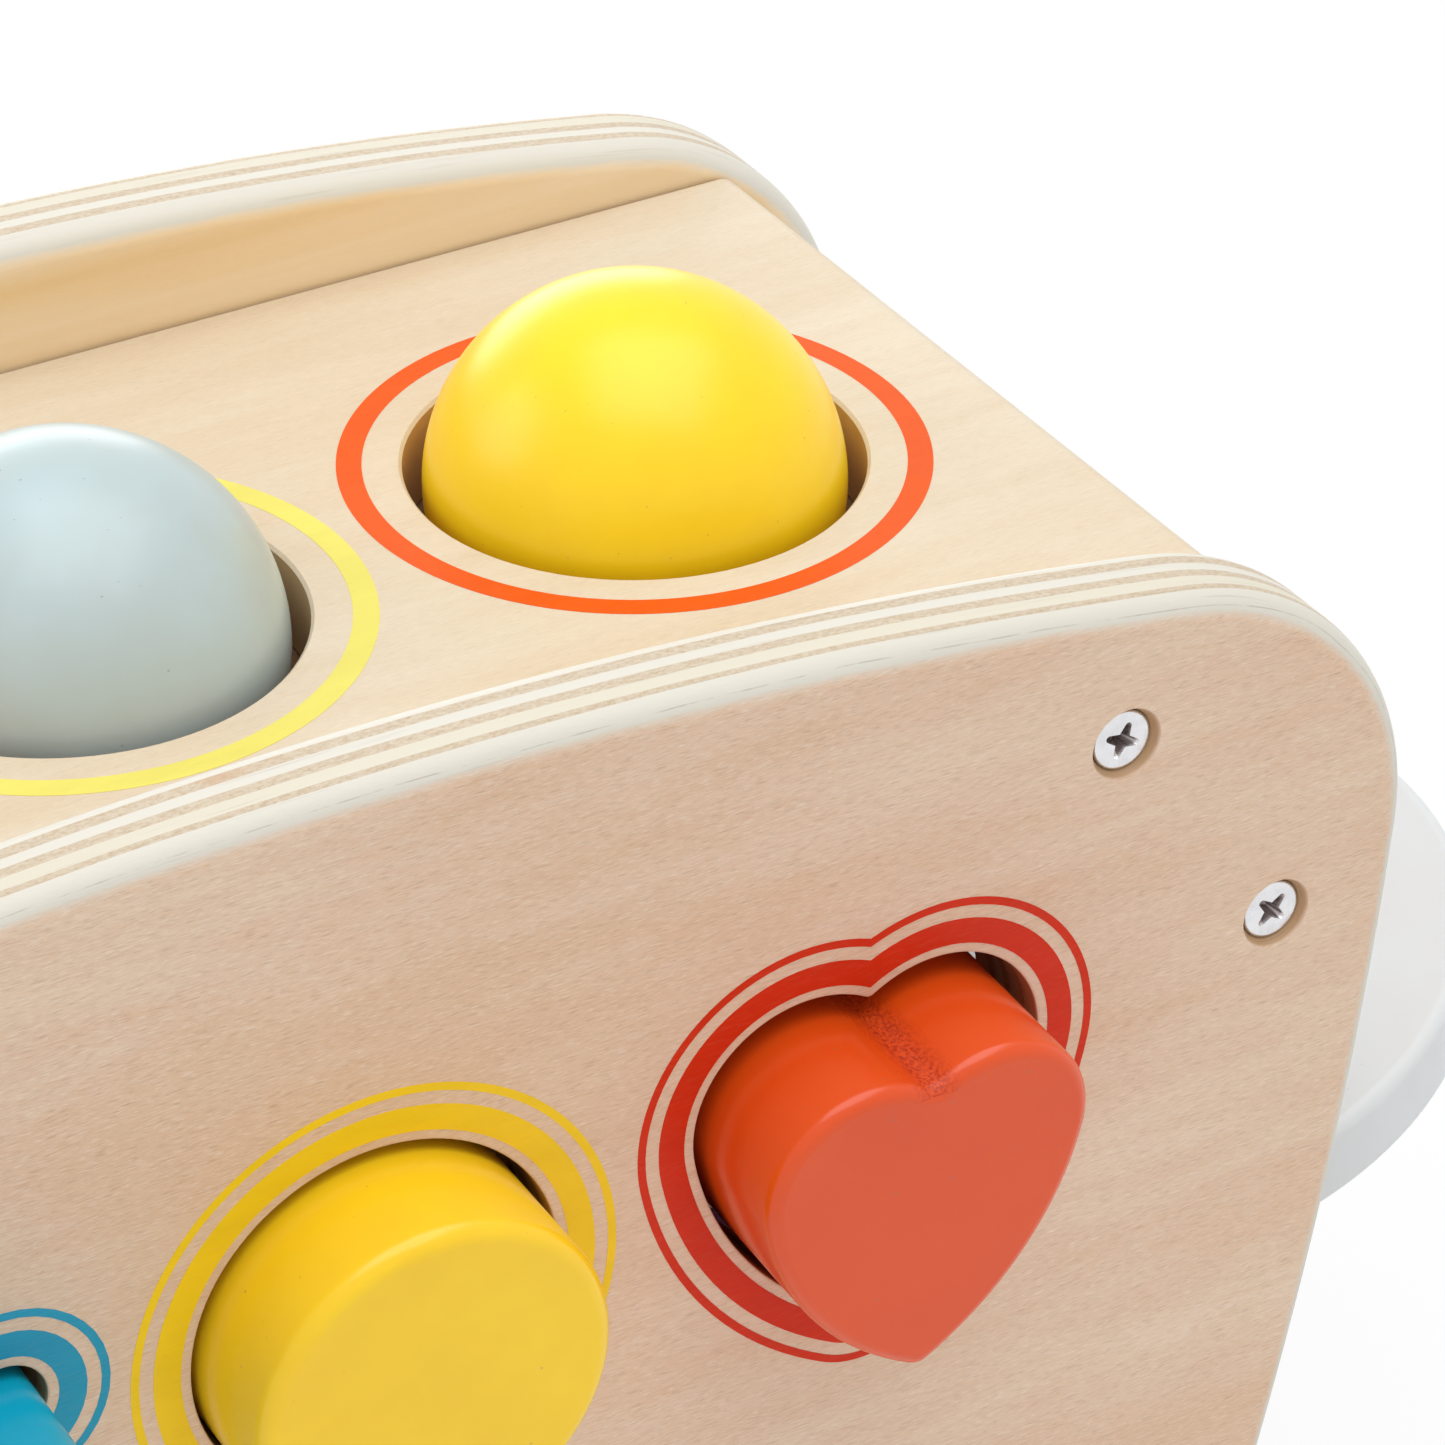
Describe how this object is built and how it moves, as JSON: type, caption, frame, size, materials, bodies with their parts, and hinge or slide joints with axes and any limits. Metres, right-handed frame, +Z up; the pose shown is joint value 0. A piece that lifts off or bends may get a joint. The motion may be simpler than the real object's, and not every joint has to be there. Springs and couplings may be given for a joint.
{
  "type": "pounding bench with xylophone",
  "caption": "Wooden pounding bench: balls in ringed holes of the top board drop onto a sloping slide-out xylophone, and shaped pegs sit in holes of the front panel.",
  "frame": {"origin": "middle of the whole toy's footprint box, at floor level", "axes": "+Z up, +X along the bench towards the xylophone's high, open end, the shaped pegs face -Y"},
  "size_m": [0.3382, 0.1377, 0.1728],
  "materials": {
    "panel_wood": "sanded and clear-lacquered beech-faced plywood",
    "board_wood": "sanded and clear-lacquered pale wood",
    "header_wood": "sanded bare wood",
    "yellow_paint": "wood in satin yellow paint",
    "grey_blue_paint": "wood in satin grey-blue paint",
    "orange_paint": "wood in satin orange paint",
    "red_paint": "wood in satin red paint",
    "blue_paint": "wood in satin blue paint",
    "white_paint": "wood in satin white paint",
    "red_enamel": "steel bar in glossy red enamel",
    "orange_enamel": "steel bar in glossy orange enamel",
    "yellow_enamel": "steel bar in glossy yellow enamel",
    "green_enamel": "steel bar in glossy green enamel",
    "grey_blue_enamel": "steel bar in glossy grey-blue enamel",
    "blue_enamel": "steel bar in glossy blue enamel",
    "purple_enamel": "steel bar in glossy purple enamel",
    "felt": "grey-white wool felt",
    "rubber": "soft black rubber",
    "zinc": "bright zinc-plated steel"
  },
  "bodies": {
    "bench": {"front_panel": "panel_wood", "rear_panel": "panel_wood", "top_board": "board_wood", "left_header": "header_wood", "right_header": "header_wood", "left_seat_ring": "rubber", "left_seat_retainer": "header_wood", "middle_seat_ring": "rubber", "middle_seat_retainer": "header_wood", "right_seat_ring": "rubber", "right_seat_retainer": "header_wood", "front_runner": "header_wood", "rear_runner": "header_wood", "screw_front_board_left": "zinc", "screw_front_board_right": "zinc", "screw_front_header_left": "zinc", "screw_front_header_right": "zinc", "screw_rear_board_left": "zinc", "screw_rear_board_right": "zinc", "screw_rear_header_left": "zinc", "screw_rear_header_right": "zinc"},
    "left_ball": {"left_ball": "orange_paint"},
    "middle_ball": {"middle_ball": "grey_blue_paint"},
    "right_ball": {"right_ball": "yellow_paint"},
    "heart_peg": {"heart_peg": "red_paint"},
    "circle_peg": {"circle_peg": "yellow_paint"},
    "star_peg": {"star_peg": "blue_paint"},
    "xylophone": {"xylophone_base": "white_paint", "front_felt": "felt", "rear_felt": "felt", "key_1": "red_enamel", "key_2": "orange_enamel", "key_3": "yellow_enamel", "key_4": "green_enamel", "key_5": "grey_blue_enamel", "key_6": "blue_enamel", "key_7": "purple_enamel", "key_8": "red_enamel", "key_pin_front_1": "zinc", "key_pin_front_2": "zinc", "key_pin_front_3": "zinc", "key_pin_front_4": "zinc", "key_pin_front_5": "zinc", "key_pin_front_6": "zinc", "key_pin_front_7": "zinc", "key_pin_front_8": "zinc", "key_pin_rear_1": "zinc", "key_pin_rear_2": "zinc", "key_pin_rear_3": "zinc", "key_pin_rear_4": "zinc", "key_pin_rear_5": "zinc", "key_pin_rear_6": "zinc", "key_pin_rear_7": "zinc", "key_pin_rear_8": "zinc"}
  },
  "joints": [
    {"name": "left_ball_drop", "type": "slide", "parent": "bench", "child": "left_ball", "axis": [0, 0, -1], "range_m": [-0.03, 0.083], "deforming": ["left_seat_ring"]},
    {"name": "middle_ball_drop", "type": "slide", "parent": "bench", "child": "middle_ball", "axis": [0, 0, -1], "range_m": [-0.03, 0.0702], "deforming": ["middle_seat_ring"]},
    {"name": "right_ball_drop", "type": "slide", "parent": "bench", "child": "right_ball", "axis": [0, 0, -1], "range_m": [-0.03, 0.0574], "deforming": ["right_seat_ring"]},
    {"name": "heart_peg_slide", "type": "slide", "parent": "bench", "child": "heart_peg", "axis": [0, -0.9986, -0.0523], "range_m": [-0.012, 0.04]},
    {"name": "circle_peg_slide", "type": "slide", "parent": "bench", "child": "circle_peg", "axis": [0, -0.9998, -0.0174], "range_m": [-0.013, 0.04]},
    {"name": "star_peg_slide", "type": "slide", "parent": "bench", "child": "star_peg", "axis": [0, -0.9994, -0.0349], "range_m": [-0.0125, 0.04]},
    {"name": "xylophone_slide", "type": "slide", "parent": "bench", "child": "xylophone", "axis": [0.9816, 0, 0.1908], "range_m": [0, 0.29]}
  ]
}
